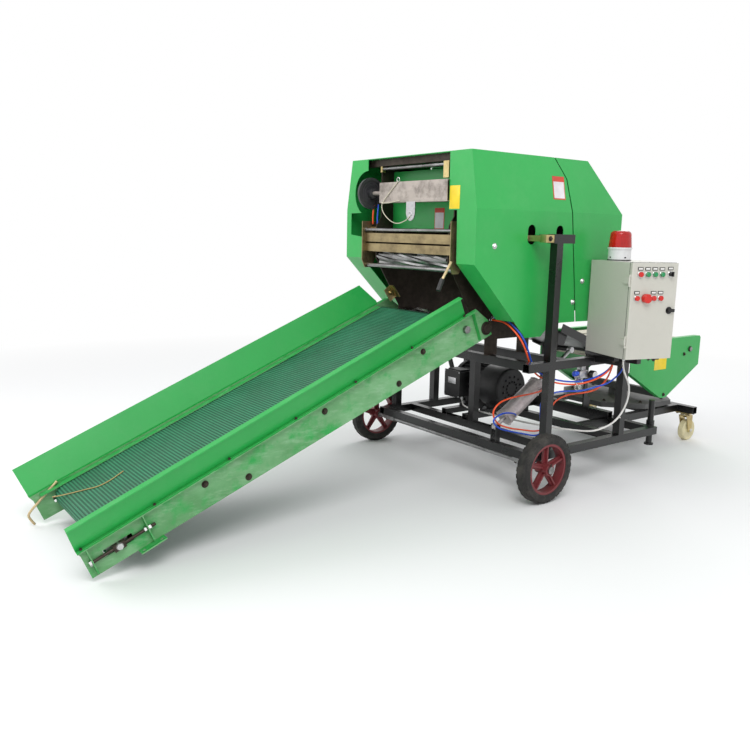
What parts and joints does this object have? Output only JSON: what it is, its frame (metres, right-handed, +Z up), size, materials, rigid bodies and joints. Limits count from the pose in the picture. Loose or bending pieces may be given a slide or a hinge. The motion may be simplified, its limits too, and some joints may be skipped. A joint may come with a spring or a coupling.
{
  "type": "round baler",
  "caption": "Small round baler with inclined belt conveyor, folded sheet chamber covers, control box and turning wrapping table on a wheeled tube frame.",
  "frame": {"origin": "on the ground at the middle of the machine's overall length and width", "axes": "+X runs rearwards from the conveyor to the wrapping table, +Z up; the control box stands on the -Y side"},
  "size_m": [3.7096, 1.5572, 1.547],
  "materials": {
    "green_paint": "gloss",
    "frame_black": "satin",
    "zinc": "satin",
    "roll_steel": "satin",
    "grey_paint": "satin",
    "rim_red": "gloss",
    "tyre_grey": "matte",
    "caster_nylon": "matte",
    "belt_green": "matte",
    "belt_cream": "matte",
    "drive_rubber": "matte",
    "motor_black": "satin",
    "aluminium": "satin",
    "chrome_rod": "polished",
    "cabinet_beige": "satin",
    "control_plastic": "gloss",
    "handle_black": "matte",
    "lamp_red": "gloss",
    "lamp_white": "gloss"
  },
  "bodies": {
    "chassis": {"lower_frame": "frame_black", "posts_and_upper_frame": "frame_black", "front_axle": "roll_steel", "caster_plates": "zinc", "motor": "motor_black", "motor_fan_cover": "motor_black", "drive_pulleys": "roll_steel", "drive_belt": "drive_rubber", "chamber_front_plates": "green_paint", "front_cover_near": "green_paint", "front_cover_far": "green_paint", "front_roof": "green_paint", "mouth_panel": "green_paint", "twine_beam": "grey_paint", "mouth_guides": "zinc", "upper_guide_rod": "zinc", "control_cabinet": "cabinet_beige", "beacon_base": "lamp_white", "beacon_dome": "lamp_red"},
    "front_wheel_near": {"front_rim_near": "rim_red", "front_tyre_near": "tyre_grey"},
    "front_wheel_far": {"front_rim_far": "rim_red", "front_tyre_far": "tyre_grey"},
    "caster_swivel_near": {"caster_fork_near": "zinc"},
    "caster_swivel_far": {"caster_fork_far": "zinc"},
    "caster_roller_near": {"caster_wheel_near": "caster_nylon"},
    "caster_roller_far": {"caster_wheel_far": "caster_nylon"},
    "jack": {"jack_leg": "frame_black"},
    "conveyor": {"conveyor_side_plates": "green_paint", "conveyor_boards": "green_paint", "conveyor_belt": "belt_green", "conveyor_bed": "frame_black", "conveyor_rollers": "roll_steel", "belt_tensioners": "zinc"},
    "lower_roll": {"lower_feed_roll": "roll_steel"},
    "upper_roll": {"upper_feed_roll": "roll_steel"},
    "disc": {"twine_disc": "handle_black"},
    "tailgate": {"tailgate_cover": "green_paint", "tailgate_plates": "green_paint"},
    "gate_barrels": {"tailgate_cylinder_barrels": "frame_black"},
    "gate_rods": {"tailgate_cylinder_rods": "chrome_rod"},
    "door": {"control_door": "cabinet_beige", "door_controls": "control_plastic", "door_handle": "handle_black"},
    "wrapping_table": {"table_side_plates": "green_paint", "turntable": "grey_paint", "table_belts": "belt_cream", "table_roller_front": "roll_steel", "table_roller_rear": "roll_steel"},
    "ramp": {"bale_ramp": "frame_black"},
    "ramp_barrel": {"ramp_cylinder_barrel": "aluminium"},
    "ramp_rod": {"ramp_cylinder_rod": "chrome_rod"}
  },
  "joints": [
    {"name": "front_wheel_near_spin", "type": "hinge", "parent": "chassis", "child": "front_wheel_near", "pos_m": [0.16675, -0.54275, 0.16], "axis": [0, 1, 0], "continuous": true},
    {"name": "front_wheel_far_spin", "type": "hinge", "parent": "chassis", "child": "front_wheel_far", "pos_m": [0.16675, 0.73525, 0.16], "axis": [0, 1, 0], "continuous": true},
    {"name": "caster_swivel_near_turn", "type": "hinge", "parent": "chassis", "child": "caster_swivel_near", "pos_m": [1.73675, -0.26475, 0.15], "axis": [0, 0, 1], "continuous": true},
    {"name": "caster_swivel_far_turn", "type": "hinge", "parent": "chassis", "child": "caster_swivel_far", "pos_m": [1.73675, 0.45725, 0.15], "axis": [0, 0, 1], "continuous": true},
    {"name": "caster_roller_near_spin", "type": "hinge", "parent": "caster_swivel_near", "child": "caster_roller_near", "pos_m": [1.76075, -0.26475, 0.0625], "axis": [0, 1, 0], "continuous": true},
    {"name": "caster_roller_far_spin", "type": "hinge", "parent": "caster_swivel_far", "child": "caster_roller_far", "pos_m": [1.76075, 0.45725, 0.0625], "axis": [0, 1, 0], "continuous": true},
    {"name": "jack_slide", "type": "slide", "parent": "chassis", "child": "jack", "axis": [0, 0, 1], "range_m": [-0.095, 0.05]},
    {"name": "conveyor_tilt", "type": "hinge", "parent": "chassis", "child": "conveyor", "pos_m": [0.05475, 0.08125, 0.772], "axis": [0, 1, 0], "range_deg": [0, 12]},
    {"name": "lower_roll_spin", "type": "hinge", "parent": "chassis", "child": "lower_roll", "pos_m": [0.05475, 0.08125, 0.772], "axis": [0, 1, 0], "continuous": true},
    {"name": "upper_roll_spin", "type": "hinge", "parent": "chassis", "child": "upper_roll", "pos_m": [-0.10825, 0.08125, 1.08], "axis": [0, 1, 0], "continuous": true},
    {"name": "twine_disc_spin", "type": "hinge", "parent": "chassis", "child": "disc", "pos_m": [-0.15125, 0.38625, 1.384], "axis": [0, 1, 0], "continuous": true},
    {"name": "tailgate_hinge", "type": "hinge", "parent": "chassis", "child": "tailgate", "pos_m": [0.31675, 0.08125, 1.528], "axis": [0, -1, 0], "range_deg": [0, 55]},
    {"name": "gate_barrels_swing", "type": "hinge", "parent": "chassis", "child": "gate_barrels", "pos_m": [0.16675, 0.08125, 0.84], "axis": [0, -1, 0], "range_deg": [0, 6.6]},
    {"name": "gate_rods_slide", "type": "slide", "parent": "gate_barrels", "child": "gate_rods", "axis": [0.727, 0, 0.6866], "range_m": [0, 0.368]},
    {"name": "door_hinge", "type": "hinge", "parent": "chassis", "child": "door", "pos_m": [0.49138, -0.6826, 0.87], "axis": [0, 0, -1], "range_deg": [0, 110]},
    {"name": "wrapping_table_turn", "type": "hinge", "parent": "chassis", "child": "wrapping_table", "pos_m": [1.51675, 0.08125, 0.24], "axis": [0, 0, 1], "continuous": true},
    {"name": "ramp_tip", "type": "hinge", "parent": "chassis", "child": "ramp", "pos_m": [1.01675, 0.08125, 0.575], "axis": [0, 1, 0], "range_deg": [0, 8]},
    {"name": "ramp_barrel_swing", "type": "hinge", "parent": "chassis", "child": "ramp_barrel", "pos_m": [0.17075, -0.22375, 0.285], "axis": [0, -1, 0], "range_deg": [0, 2.9]},
    {"name": "ramp_rod_slide", "type": "slide", "parent": "ramp_barrel", "child": "ramp_rod", "axis": [0.8373, 0, 0.5468], "range_m": [0, 0.034]}
  ],
  "couplings": [
    {"joint": "gate_barrels_swing", "follows": "tailgate_hinge", "ratio": 0.1194},
    {"joint": "gate_rods_slide", "follows": "tailgate_hinge", "m_per_rad": 0.3832},
    {"joint": "ramp_barrel_swing", "follows": "ramp_tip", "ratio": 0.361},
    {"joint": "ramp_rod_slide", "follows": "ramp_tip", "m_per_rad": 0.2427}
  ]
}
